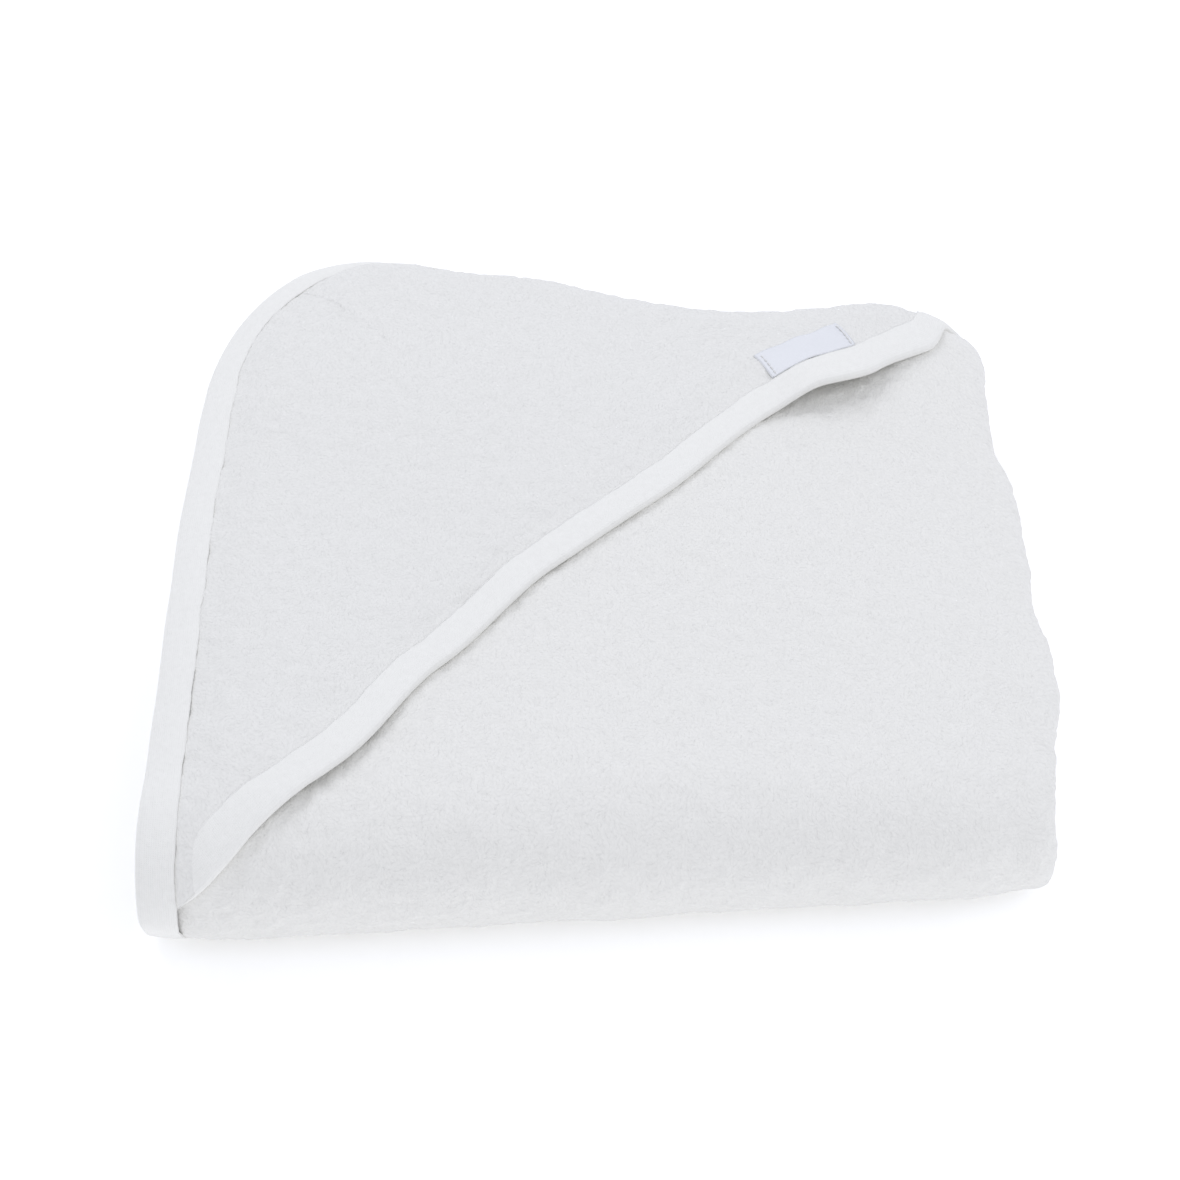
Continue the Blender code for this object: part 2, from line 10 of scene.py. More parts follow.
import bpy
import numpy as np
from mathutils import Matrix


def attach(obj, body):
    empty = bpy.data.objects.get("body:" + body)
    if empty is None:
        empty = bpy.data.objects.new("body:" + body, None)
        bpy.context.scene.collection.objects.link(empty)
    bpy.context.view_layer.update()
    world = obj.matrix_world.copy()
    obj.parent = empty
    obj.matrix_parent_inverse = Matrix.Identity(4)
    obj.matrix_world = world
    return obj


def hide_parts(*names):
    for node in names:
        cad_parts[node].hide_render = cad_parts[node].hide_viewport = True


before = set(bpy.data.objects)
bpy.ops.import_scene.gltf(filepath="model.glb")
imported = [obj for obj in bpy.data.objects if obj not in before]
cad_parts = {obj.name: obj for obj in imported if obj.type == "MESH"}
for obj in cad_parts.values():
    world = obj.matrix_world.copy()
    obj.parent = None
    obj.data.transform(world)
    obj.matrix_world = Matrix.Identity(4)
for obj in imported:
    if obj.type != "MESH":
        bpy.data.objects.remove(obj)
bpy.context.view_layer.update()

# Flat pattern, as in the CAD
SHEET_SIDE = 0.762
SHEET_CORNER_RADIUS = 0.073
HOOD_LEG = 0.314
TERRY_THICKNESS = 0.0042
HOOD_THICKNESS = 0.0038
BINDING_WIDTH = 0.012
LABEL_LENGTH = 0.031
LABEL_WIDTH = 0.0135
LABEL_U = 0.2250  # of the label's middle, seen at the hood's open edge; 2.5 mm further along than in the CAD

# Fold lines, as in the CAD
LAYER_PITCH = 0.0058
TOP_WIDTH = 0.276
BOTTOM_WIDTH = 0.250
LEFT_EDGE_X = -0.136
STRIP_GAP = 0.0010
BACK_EDGE_Y = 0.158
FRONT_TURN_Y = (-0.119, -0.101)
BACK_TURN_Y = (0.108, 0.094)
FRONT_STRETCH = 1.15
HANG_RADIUS = 0.014
HANG_ANGLE = math.radians(80)
HANG_START = (0.020, 0.048)
HANG_X = (-0.075, 0.045)
STACK_MIDDLE = (0.0064, 0.0037)  # of the folded stack, which lies at the frame's origin

# Lie of the cloth
LEFT_DROOP = 0.005
LEFT_DROOP_X = -0.112
CROWNS = (  # swells of the stack: (share of the height, middle x and y, spread x and y)
    (0.07, -0.025, 0.045, 0.110, 0.120),
    (0.12, -0.070, 0.125, 0.075, 0.060),
    (0.11, 0.125, 0.110, 0.060, 0.050),
)
RIGHT_FALL = 0.14
RIGHT_FALL_X = (0.095, 0.148)
BACK_CORNER_X = (0.120, 0.156)
BACK_CORNER_Y = (0.040, 0.110)
BACK_CORNER_PULL = 0.010
LEFT_STRETCH = 0.009  # the cloth is drawn forward along the left edge
LEFT_STRETCH_REACH = 0.13

# How far each side of the stack bellies out (to the right and to the back are positive), by place along it
RIGHT_SIDE = (
    (-0.120, -0.0040), (-0.092, -0.0006), (-0.066, 0.0034), (-0.045, 0.0015), (-0.020, -0.0020),
    (0.010, -0.0005), (0.035, 0.0010), (0.069, -0.0030), (0.093, -0.0040),
)
LEFT_SIDE = (
    (-0.130, 0.0005), (-0.080, -0.0006), (-0.030, -0.0018), (0.010, -0.0028), (0.060, -0.0020), (0.110, 0.0),
)
FRONT_SIDE = (
    (-0.140, -0.0020), (-0.110, -0.0050), (0.0, -0.0036), (0.080, -0.0022), (0.120, -0.0020), (0.140, 0.0020),
)
BACK_SIDE = (
    (-0.130, 0.0010), (-0.085, 0.0080), (-0.050, 0.0055), (-0.010, 0.0090), (0.020, 0.0085),
    (0.060, 0.0040), (0.110, 0.0070), (0.140, 0.0080),
)

# Where the hood's open edge stands off the towel: (u of the edge, reach to the left and to the right, height)
LIPS = (
    (0.224, 0.010, 0.022, 0.0080),
    (0.046, 0.016, 0.026, 0.0022),
    (0.118, 0.034, 0.034, 0.0006),
)
LIP_DEPTH = 0.024
SEAM_HOLD = (0.010, 0.036)  # the seam holds the hood down this near the sheet's edge
EDGE_DRIFT = (  # how far that edge has drifted towards the front, by the u of the edge
    (0.000, 0.0), (0.030, 0.001), (0.060, 0.0050), (0.090, -0.001), (0.130, -0.0085), (0.165, -0.0090),
    (0.206, -0.0150), (0.240, 0.0020), (0.258, 0.0045), (0.278, -0.0060), (0.292, -0.0090), (0.314, -0.003),
)
DRIFT_DEPTH = 0.070
# Beside the label the hood is pulled round: amount, the u of the edge, reach, depth
TWIST = (0.60, 0.228, 0.032, 0.045)

# Seams, tapes and stitches
CRUSHED_HALF = 0.0008
HOOD_CRUSHED = 0.0012
HOOD_AT_TAPE = 0.0010  # the hood's pile next to a tape, above its crushed thickness
LAYER_GAP = 0.0003  # between the towel and the hood on it
TAPE = 0.0005
TAPE_HALF = 0.0015
TAPE_FOLD = 0.0022  # radius of the tape's turn round the edge, at most
TAPE_LIFT = 0.0026  # of the edge tape where it goes over the hood
PILE_RISE = (0.0100, 0.0118)  # where the pile stands up over a tape's inner edge, in from the cloth's edge
HOOD_TAPE_THICKNESS = 0.0023
PRESSED_LOW, PRESSED_THICKNESS = 0.0012, 0.0013  # of the hood's tape under the edge tape
TUCK = 0.002  # the hood's tape ends this far in from the cloth's edge
STITCH = 0.0029
STITCH_GAP = 0.0005
STITCH_INSET = 0.0014
THREAD_RADIUS = 0.00022
NEEDLE_LIFT = 0.00024  # of the edge stitches' middle above the tape
HOOD_NEEDLE_LIFT = 0.00022
LABEL_GAP = 0.0002
REST_LIFT = 0.0008  # keeps the lowest loops on the floor

LAYER_HALF = TERRY_THICKNESS / 2
STRIP_HALF = LAYER_PITCH + LAYER_HALF
INNER_TURN_ACROSS = LAYER_PITCH / 2
BACK_TURN_RADIUS = STRIP_HALF + 0.7 * STRIP_GAP
FRONT_TURN_RADIUS = BACK_TURN_RADIUS + STRIP_HALF + STRIP_GAP / 2
STACK_MIDDLE_Z = FRONT_TURN_RADIUS + STRIP_HALF + REST_LIFT
FRONT_TURN_LENGTH = math.pi * (FRONT_TURN_RADIUS + LAYER_PITCH) * (1 + FRONT_STRETCH) / 2
BACK_TURN_LENGTH = math.pi * (BACK_TURN_RADIUS + LAYER_PITCH)
RIGHT_EDGE_X = LEFT_EDGE_X + TOP_WIDTH + STRIP_HALF
BINDING_END = BINDING_WIDTH + 0.0002
LABEL_END = BINDING_END + LABEL_WIDTH
ROOT2 = math.sqrt(2)


# ---------------------------------------------------------------- the folds


def smooth(value, start, end):
    t = np.clip((value - start) / (end - start), 0.0, 1.0)
    return t * t * (3 - 2 * t)


def across(pair, x):
    """A value between the pair, the first at the left edge and the second at the right."""
    return pair[0] + (pair[1] - pair[0]) * (x - LEFT_EDGE_X) / (RIGHT_EDGE_X - LEFT_EDGE_X)


def three_fold(along, off, first, outer_radius, outer_length, second, inner_radius, inner_length):
    """(distance, height) of cloth folded in three: a top run, a turn, a bottom run, a turn, a middle run."""
    on_outer = along - first
    on_second = on_outer - outer_length
    on_inner = on_second - second
    on_third = on_inner - inner_length
    outer_angle = math.pi * on_outer / outer_length
    inner_angle = math.pi * on_inner / inner_length
    inner_start = first - second
    inner_middle = inner_radius - outer_radius
    where = [on_outer < 0, on_second < 0, on_inner < 0, on_third < 0]
    distance = np.select(
        where,
        [
            along,
            first + (outer_radius + off) * np.sin(outer_angle),
            first - on_second,
            inner_start - (inner_radius + off) * np.sin(inner_angle),
        ],
        inner_start + on_third,
    )
    height = np.select(
        where,
        [
            outer_radius + off,
            (outer_radius + off) * np.cos(outer_angle),
            -outer_radius - off,
            inner_middle - (inner_radius + off) * np.cos(inner_angle),
        ],
        inner_middle + inner_radius + off,
    )
    return distance, height


def fold_across(u, v, w, front_turn):
    distance, height = three_fold(
        u, w, TOP_WIDTH, LAYER_PITCH, math.pi * LAYER_PITCH,
        BOTTOM_WIDTH, INNER_TURN_ACROSS, math.pi * INNER_TURN_ACROSS,
    )
    x = LEFT_EDGE_X + distance
    front = BACK_EDGE_Y - front_turn
    on_top = (u < TOP_WIDTH) * (1 - smooth(v, front - 0.02, front + 0.02))
    droop = np.clip((LEFT_DROOP_X - x) / (LEFT_DROOP_X - LEFT_EDGE_X), 0, None) ** 2
    return x, height - LEFT_DROOP * droop * on_top


def fold_along(x, v, height):
    front_turn = across(FRONT_TURN_Y, x)
    first = BACK_EDGE_Y - front_turn
    second = across(BACK_TURN_Y, x) - front_turn
    distance, z = three_fold(
        v, height, first, FRONT_TURN_RADIUS, FRONT_TURN_LENGTH, second, BACK_TURN_RADIUS, BACK_TURN_LENGTH,
    )
    start = HANG_START[0] + (HANG_START[1] - HANG_START[0]) * smooth(x, *HANG_X)
    hanging = np.clip(start - v, 0, None)
    angle = np.clip(hanging / (HANG_RADIUS + LAYER_PITCH), 0, HANG_ANGLE)
    straight = hanging - angle * (HANG_RADIUS + LAYER_PITCH)
    bend = HANG_RADIUS + height
    over = start - bend * np.sin(angle) - straight * math.cos(HANG_ANGLE)
    down = FRONT_TURN_RADIUS - HANG_RADIUS + bend * np.cos(angle) - straight * math.sin(HANG_ANGLE)
    distance = np.where(hanging > 0, over, distance)
    z = np.where(hanging > 0, down, z)
    y = BACK_EDGE_Y - distance
    y = np.where(y < front_turn, front_turn + (y - front_turn) * FRONT_STRETCH, y)
    return y, z + STACK_MIDDLE_Z


def profile(place, stations):
    """A soft curve through stations of (place, amount)."""
    out = np.full(np.shape(place), stations[0][1], float)
    for (start, before), (end, after) in zip(stations, stations[1:], strict=False):
        out += (after - before) * smooth(place, start, end)
    return out


def settle(x, y, z):
    """The sag and swell of the whole stack, and its long soft undulations."""
    share = 1 - RIGHT_FALL * smooth(x, *RIGHT_FALL_X) ** 2
    for height, middle_x, middle_y, spread_x, spread_y in CROWNS:
        from_middle = ((x - middle_x) / spread_x) ** 2 + ((y - middle_y) / spread_y) ** 2
        share = share + height * np.exp(-from_middle)
    z = z * share
    y = y - BACK_CORNER_PULL * smooth(x, *BACK_CORNER_X) * smooth(y, *BACK_CORNER_Y)
    right = profile(y, RIGHT_SIDE) * smooth(x, 0.06, 0.13)
    left = profile(y, LEFT_SIDE) * smooth(-x, 0.06, 0.12)
    front = profile(x, FRONT_SIDE) * smooth(-y, 0.07, 0.12)
    back = profile(x, BACK_SIDE) * smooth(y, 0.06, 0.13)
    x = x + right + left
    y = y + front + back
    high = np.clip(z / 0.05, 0, 1)
    rolling = np.sin(x * 31 + y * 13 + 0.6) * np.sin(y * 27 - x * 9 + 1.1)
    z = z + 0.0010 * rolling * high**2
    x = x + 0.0016 * np.sin(y * 41 + 0.9 + z * 30) * smooth(x, 0.06, 0.14)
    y = y + 0.0012 * np.sin(x * 37 + 0.4) * smooth(-y, 0.08, 0.13) * high
    return x, y, z


def lip_lift(u, v):
    """How high the hood stands off along its open edge."""
    along = (u - v + HOOD_LEG) / 2
    inward = np.clip((HOOD_LEG - u - v) / ROOT2, 0, None)
    lift = np.zeros(np.broadcast(u, v).shape)
    for middle, left, right, height in LIPS:
        reach = np.where(along < middle, left, right)
        lift += height * np.exp(-(((along - middle) / reach) ** 2))
    return lift * np.exp(-((inward / LIP_DEPTH) ** 2)) * smooth(edge_distance(u, v), *SEAM_HOLD)


def drifted(u, v):
    """Flat points of the hood after its open edge has slid over the towel."""
    along = (u - v + HOOD_LEG) / 2
    inward = np.clip((HOOD_LEG - u - v) / ROOT2, 0, None)
    seam = smooth(edge_distance(u, v), 0.002, 0.030)
    side = profile(along, EDGE_DRIFT) * seam * np.exp(-((inward / DRIFT_DEPTH) ** 2)) / ROOT2
    amount, middle, reach, depth = TWIST
    pull = amount * inward * np.exp(-(((along - middle) / reach) ** 2) - (inward / depth) ** 2) * seam / ROOT2
    return u + side + pull, v + side - pull


def folded(u, v, w, on_hood=False):
    u, v, w = np.broadcast_arrays(*(np.asarray(value, float) for value in (u, v, w)))
    if on_hood:
        lift = lip_lift(u, v)
        u, v = drifted(u, v)
    v = v + LEFT_STRETCH * smooth(v, 0.05, 0.30) * (1 - smooth(u, 0, LEFT_STRETCH_REACH))
    x, _ = fold_across(u, v, w, 0.0)
    x, height = fold_across(u, v, w, across(FRONT_TURN_Y, x))
    y, z = fold_along(x, v, height)
    x, y, z = settle(x, y, z)
    points = np.stack([x - STACK_MIDDLE[0], y - STACK_MIDDLE[1], z], axis=-1)
    if on_hood:
        points[..., 2] += lift
    return points


def rounded(u, v):
    """Points of the square sheet moved so that its corners are round, each as far from the edge as before."""
    half = SHEET_SIDE / 2
    p, q = u - half, v - half
    reach = np.maximum(abs(p), abs(q))
    radius = np.maximum(SHEET_CORNER_RADIUS - (half - reach), 0)
    from_corner = reach - np.minimum(abs(p), abs(q))
    turned = (1 - from_corner / np.maximum(radius, 1e-9)) * math.pi / 4
    near_side = reach - radius + radius * np.cos(turned)
    far_side = reach - radius + radius * np.sin(turned)
    wide = abs(p) >= abs(q)
    in_corner = from_corner < radius
    new_p = np.where(in_corner, np.sign(p) * np.where(wide, near_side, far_side), p)
    new_q = np.where(in_corner, np.sign(q) * np.where(wide, far_side, near_side), q)
    return half + new_p, half + new_q


def edge_distance(u, v):
    half = SHEET_SIDE / 2
    return half - np.maximum(abs(u - half), abs(v - half))


# ---------------------------------------------------------------- soft random relief


class Relief:
    """A smooth random field over the sheet, the same on every run."""

    def __init__(self, seed, size, step):
        count = int(SHEET_SIDE / step) + 4
        noise = np.random.default_rng(seed).standard_normal((count, count))
        wave = np.fft.fftfreq(count, step)
        power = np.exp(-2 * (math.pi * size) ** 2 * (wave[:, None] ** 2 + wave[None, :] ** 2))
        field = np.fft.ifft2(np.fft.fft2(noise) * power).real
        self.field = field / field.std()
        self.step = step

    def at(self, u, v):
        i = np.clip(u / self.step, 0, len(self.field) - 2)
        j = np.clip(v / self.step, 0, len(self.field) - 2)
        i0, j0 = i.astype(int), j.astype(int)
        a, b = i - i0, j - j0
        f = self.field
        near = f[i0, j0] * (1 - a) + f[i0 + 1, j0] * a
        far = f[i0, j0 + 1] * (1 - a) + f[i0 + 1, j0 + 1] * a
        return near * (1 - b) + far * b


TUFTS = Relief(3, 0.0007, 0.0005)
CLUMPS = Relief(5, 0.0018, 0.0009)
SWELLS = Relief(8, 0.0075, 0.003)


def pile(u, v, shift=0.0):
    """How much the loops stand above or below the cloth's mean face."""
    u, v = u + shift, v + shift
    return 0.00012 * TUFTS.at(u, v) + 0.00016 * CLUMPS.at(u, v) + 0.00019 * SWELLS.at(u, v)


# ---------------------------------------------------------------- meshes


def spaced(start, end, step):
    return np.linspace(start, end, max(2, math.ceil((end - start) / step) + 1))


def add_mesh(name, points, quads, uv, material):
    """A mesh object from points, quads or triangles, and the points' flat places, which uv holds in mm."""
    mesh = bpy.data.meshes.new(name)
    size = quads.shape[1]
    mesh.vertices.add(len(points))
    mesh.vertices.foreach_set("co", np.asarray(points, np.float32).ravel())
    mesh.loops.add(quads.size)
    mesh.loops.foreach_set("vertex_index", quads.astype(np.int32).ravel())
    mesh.polygons.add(len(quads))
    mesh.polygons.foreach_set("loop_start", np.arange(0, quads.size, size, dtype=np.int32))
    mesh.update(calc_edges=True)
    mesh.validate()
    layer = mesh.uv_layers.new(name="flat")
    layer.data.foreach_set("uv", (np.asarray(uv)[quads.ravel()] * 1000).astype(np.float32).ravel())
    mesh.materials.append(material)
    mesh.shade_smooth()
    piece = bpy.data.objects.new(name, mesh)
    bpy.context.scene.collection.objects.link(piece)
    return piece


def closed_sheet(name, upper, lower, cells, uv, material):
    """Two faces of a cloth and the rim between them. cells are quads or triangles of the upper face."""
    count = len(upper)
    corners = cells.shape[1]
    edges = np.concatenate([np.stack([cells[:, k], cells[:, (k + 1) % corners]], 1) for k in range(corners)])
    key = edges[:, 0].astype(np.int64) * count + edges[:, 1]
    back = edges[:, 1].astype(np.int64) * count + edges[:, 0]
    rim = edges[~np.isin(key, back)]
    rim_cells = np.stack([rim[:, 1], rim[:, 0], rim[:, 0] + count, rim[:, 1] + count], 1)
    if corners == 3:
        rim_cells = np.concatenate([rim_cells[:, [0, 1, 2]], rim_cells[:, [0, 2, 3]]])
    quads = np.concatenate([cells, cells[:, ::-1] + count, rim_cells])
    return add_mesh(name, np.concatenate([upper, lower]), quads, np.concatenate([uv, uv]), material)


def grid_cells(rows, columns):
    index = np.arange(rows * columns).reshape(rows, columns)
    return np.stack([index[:-1, :-1], index[:-1, 1:], index[1:, 1:], index[1:, :-1]], -1).reshape(-1, 4)


def standing(distance):
    """How much of its height the pile has, this far in from an edge."""
    return smooth(distance, *PILE_RISE)


def panel_half(u, v):
    seam = standing(edge_distance(u, v))
    return CRUSHED_HALF + (LAYER_HALF - CRUSHED_HALF) * seam, seam


def make_towel(material):
    """The whole towel, close-meshed where it shows."""
    fine = 0.0010
    columns = np.unique(np.concatenate([
        spaced(0.0006, 0.300, fine), spaced(0.300, 0.536, 0.0035), spaced(0.536, 0.560, 0.0012),
        spaced(0.560, SHEET_SIDE - 0.0006, 0.0035),
    ]))
    rows = np.unique(np.concatenate([
        spaced(0.0006, 0.365, fine), spaced(0.365, SHEET_SIDE - 0.0006, 0.0022),
    ]))
    u, v = np.meshgrid(columns, rows)
    u, v = u.ravel(), v.ravel()
    half, seam = panel_half(u, v)
    ru, rv = rounded(u, v)
    upper = folded(ru, rv, half + pile(ru, rv) * seam)
    lower = folded(ru, rv, -half + pile(ru, rv, 0.013) * 0.5 * seam)
    cells = grid_cells(len(rows), len(columns))[:, ::-1]
    return closed_sheet("towel_terry", upper, lower, cells, np.stack([ru, rv], 1), material)


def hood_faces(u, v):
    """(lower, upper) height of the hood above the middle of the sheet, and how far its pile stands."""
    from_seam, from_mouth = edge_distance(u, v), (HOOD_LEG - u - v) / ROOT2
    seam, mouth = standing(from_seam), standing(from_mouth)
    half = CRUSHED_HALF + (LAYER_HALF - CRUSHED_HALF) * seam
    lower = half + LAYER_GAP + 0.0007 * (1 - mouth) * seam
    loft = smooth(np.minimum(from_seam, from_mouth), BINDING_END, BINDING_END + 0.014)
    stand = HOOD_AT_TAPE + (HOOD_THICKNESS - HOOD_CRUSHED - HOOD_AT_TAPE) * loft
    upper = lower + HOOD_CRUSHED + stand * mouth * seam
    return lower, upper, mouth * seam


def make_hood(material):
    fine = 0.0009
    count = round((HOOD_LEG - 0.0014) / fine)
    steps = np.linspace(0.0006, HOOD_LEG - 0.0014, count + 1)
    size = count + 1
    u, v = np.meshgrid(steps, steps)
    u, v = u.ravel(), v.ravel()
    row, column = np.divmod(np.arange(size * size), size)
    a = np.flatnonzero((row + column < count) & (row < count) & (column < count))
    first = np.stack([a, a + size, a + 1], 1)
    b = a[(row + column)[a] < count - 1]
    second = np.stack([b + 1, b + size, b + size + 1], 1)
    cells = np.concatenate([first, second])
    used, cells = np.unique(cells, return_inverse=True)
    cells = cells.reshape(-1, 3)
    u, v = u[used], v[used]
    lower, upper, stands = hood_faces(u, v)
    ru, rv = rounded(u, v)
    top = folded(ru, rv, upper + pile(ru, rv, 0.21) * stands, on_hood=True)
    bottom = folded(ru, rv, lower, on_hood=True)
    return closed_sheet("hood_terry", top, bottom, cells, np.stack([ru + 0.37, rv + 0.11], 1), material)


RUN_POINTS = 12


def tape_section(width, low, high, swell):
    """A soft tape folded over an edge: its outline as (in from the edge, height), and how far round it is."""
    middle, reach = (low + high) / 2, (high - low) / 2
    fold = min(reach, TAPE_FOLD)
    outside = []
    for share in np.linspace(1, 0, RUN_POINTS):
        distance = fold + (width - fold) * share
        puff = swell * (math.sin(math.pi * min(1, (1 - share) * 1.02 + 0.02)) ** 0.8)
        groove = 0.00018 * math.exp(-(((width - distance - STITCH_INSET) / 0.0005) ** 2))
        outside.append((distance, reach + puff - groove))
    for angle in np.linspace(0, math.pi, 9)[1:-1]:
        outside.append((fold - fold * math.sin(angle), reach * math.cos(angle)))
    outside += [(distance, -height) for distance, height in reversed(outside[:RUN_POINTS])]
    outside = np.array(outside)
    run_on = np.gradient(outside, axis=0)
    run_on /= np.linalg.norm(run_on, axis=1, keepdims=True)
    inside = outside + TAPE * np.stack([run_on[:, 1], -run_on[:, 0]], 1)
    length = np.concatenate([[0], np.cumsum(np.linalg.norm(np.diff(outside, axis=0), axis=1))])
    section = np.concatenate([outside, inside[::-1]])
    section[:, 1] += middle
    return section, np.concatenate([length, length[::-1]])


def swept(name, sections, lengths, travel, closed, material):
    """A closed body along cross-sections. travel is each section's distance along the seam."""
    count, size = len(sections), len(lengths)
    index = np.arange(count * size).reshape(count, size)
    after = np.roll(index, -1, axis=0)
    here = index if closed else index[:-1]
    after = after if closed else after[:-1]
    quads = np.stack([here, np.roll(here, -1, 1), np.roll(after, -1, 1), after], -1).reshape(-1, 4)
    if not closed:
        half = size // 2
        for row in (index[0], index[-1][::-1]):
            caps = [(row[k], row[k + 1], row[size - 2 - k], row[size - 1 - k]) for k in range(half - 1)]
            quads = np.concatenate([quads, np.array(caps)])
    uv = np.stack([np.repeat(travel, size), np.tile(lengths, count)], 1)
    return add_mesh(name, sections.reshape(-1, 3), quads, uv, material)


def border_path(step):
    """(u, v, inward u, inward v) along the sheet's rounded edge, and the distance along it."""
    radius, side = SHEET_CORNER_RADIUS, SHEET_SIDE
    straight = spaced(radius, side - radius, step)[:-1]
    turn = spaced(0, math.pi / 2, step / radius)[:-1]
    path = []
    for quarter in range(4):
        for s in straight:
            path.append((s, 0.0, 0.0, 1.0, quarter))
        for a in turn:
            inward = (-math.sin(a), math.cos(a))
            path.append((side - radius - radius * inward[0], radius - radius * inward[1], *inward, quarter))
    out = []
    for u, v, du, dv, quarter in path:
        for _ in range(quarter):
            u, v, du, dv = side - v, u, -dv, du
        out.append((u, v, du, dv))
    out = np.array(out)
    travel = np.concatenate([[0], np.cumsum(np.linalg.norm(np.diff(out[:, :2], axis=0), axis=1))])
    return out, travel


def beside_hood(path):
    """1 where the edge tape goes over the hood's seam, 0 elsewhere, with a short slope between."""
    u, v = path[:, 0], path[:, 1]
    reach = np.where(np.minimum(u, v) < SHEET_CORNER_RADIUS, np.maximum(u, v), 1.0)
    reach = np.where((u < 0.04) | (v < 0.04) | (np.maximum(u, v) < SHEET_CORNER_RADIUS + 0.001), reach, 1.0)
    return 1 - smooth(reach, HOOD_LEG - 0.008, HOOD_LEG + 0.004)


def pucker(travel, seed):
    """Slow and quick unevenness along a sewn tape."""
    rng = np.random.default_rng(seed)
    out = np.zeros_like(travel)
    for length, size in ((0.031, 0.5), (0.017, 0.35), (0.0075, 0.22), (0.0043, 0.12)):
        start = rng.uniform(0, 6.28)
        wander = 0.8 * np.sin(travel * 57 + rng.uniform(0, 6))
        out += size * np.sin(2 * math.pi * travel / length + start + wander)
    return out


def make_edge_tape(material):
    path, travel = border_path(0.0016)
    raised = beside_hood(path)
    uneven = pucker(travel, 11)
    sections = []
    for (u, v, du, dv), lift, bump in zip(path, raised, uneven, strict=True):
        high = TAPE_HALF + TAPE_LIFT * lift
        width, swell = BINDING_WIDTH + 0.0003 * bump, 0.00045 + 0.00012 * bump
        section, lengths = tape_section(width, -TAPE_HALF, high, swell)
        sections.append(np.stack([u + du * section[:, 0], v + dv * section[:, 0], section[:, 1]], 1))
    flat = np.array(sections)
    points = folded(flat[..., 0], flat[..., 1], flat[..., 2])
    return swept("edge_binding_tape", points, lengths, travel, True, material)


def mouth_uv(stop, distance):
    """The flat point this far in from the hood's open edge, at the stop where u of the edge is given."""
    return stop - distance / ROOT2, HOOD_LEG - stop - distance / ROOT2


def mouth_heights():
    """(lower, upper) face of the hood's tape."""
    low = LAYER_HALF + 0.0002
    return low, low + HOOD_TAPE_THICKNESS


def mouth_stops(step):
    return spaced(0.0035, HOOD_LEG - 0.0035, step / ROOT2)


def tucked(u, v, w):
    """Points of the hood's tape, pressed flat where its ends are caught under the edge tape."""
    eased = [TUCK + TUCK * np.exp(np.minimum(place - 2 * TUCK, 0) / TUCK) for place in (u, v)]
    u, v = np.where(u < 2 * TUCK, eased[0], u), np.where(v < 2 * TUCK, eased[1], v)
    low, high = mouth_heights()
    free = smooth(edge_distance(u, v), BINDING_END - 0.0005, BINDING_END + 0.009)
    pressed = PRESSED_LOW + (w - low) * PRESSED_THICKNESS / (high - low)
    return u, v, w * free + pressed * (1 - free)


def make_hood_tape(material):
    stops = mouth_stops(0.0013)
    travel = stops * ROOT2
    uneven = pucker(travel, 23)
    sections = []
    for stop, bump in zip(stops, uneven, strict=True):
        width, swell = BINDING_WIDTH + 0.0004 * bump, 0.00030 + 0.00012 * bump
        section, lengths = tape_section(width, *mouth_heights(), swell)
        sections.append(np.stack(tucked(*mouth_uv(stop, section[:, 0]), section[:, 1]), 1))
    flat = np.array(sections)
    points = folded(flat[..., 0], flat[..., 1], flat[..., 2], on_hood=True)
    return swept("hood_binding_tape", points, lengths, travel, False, material)


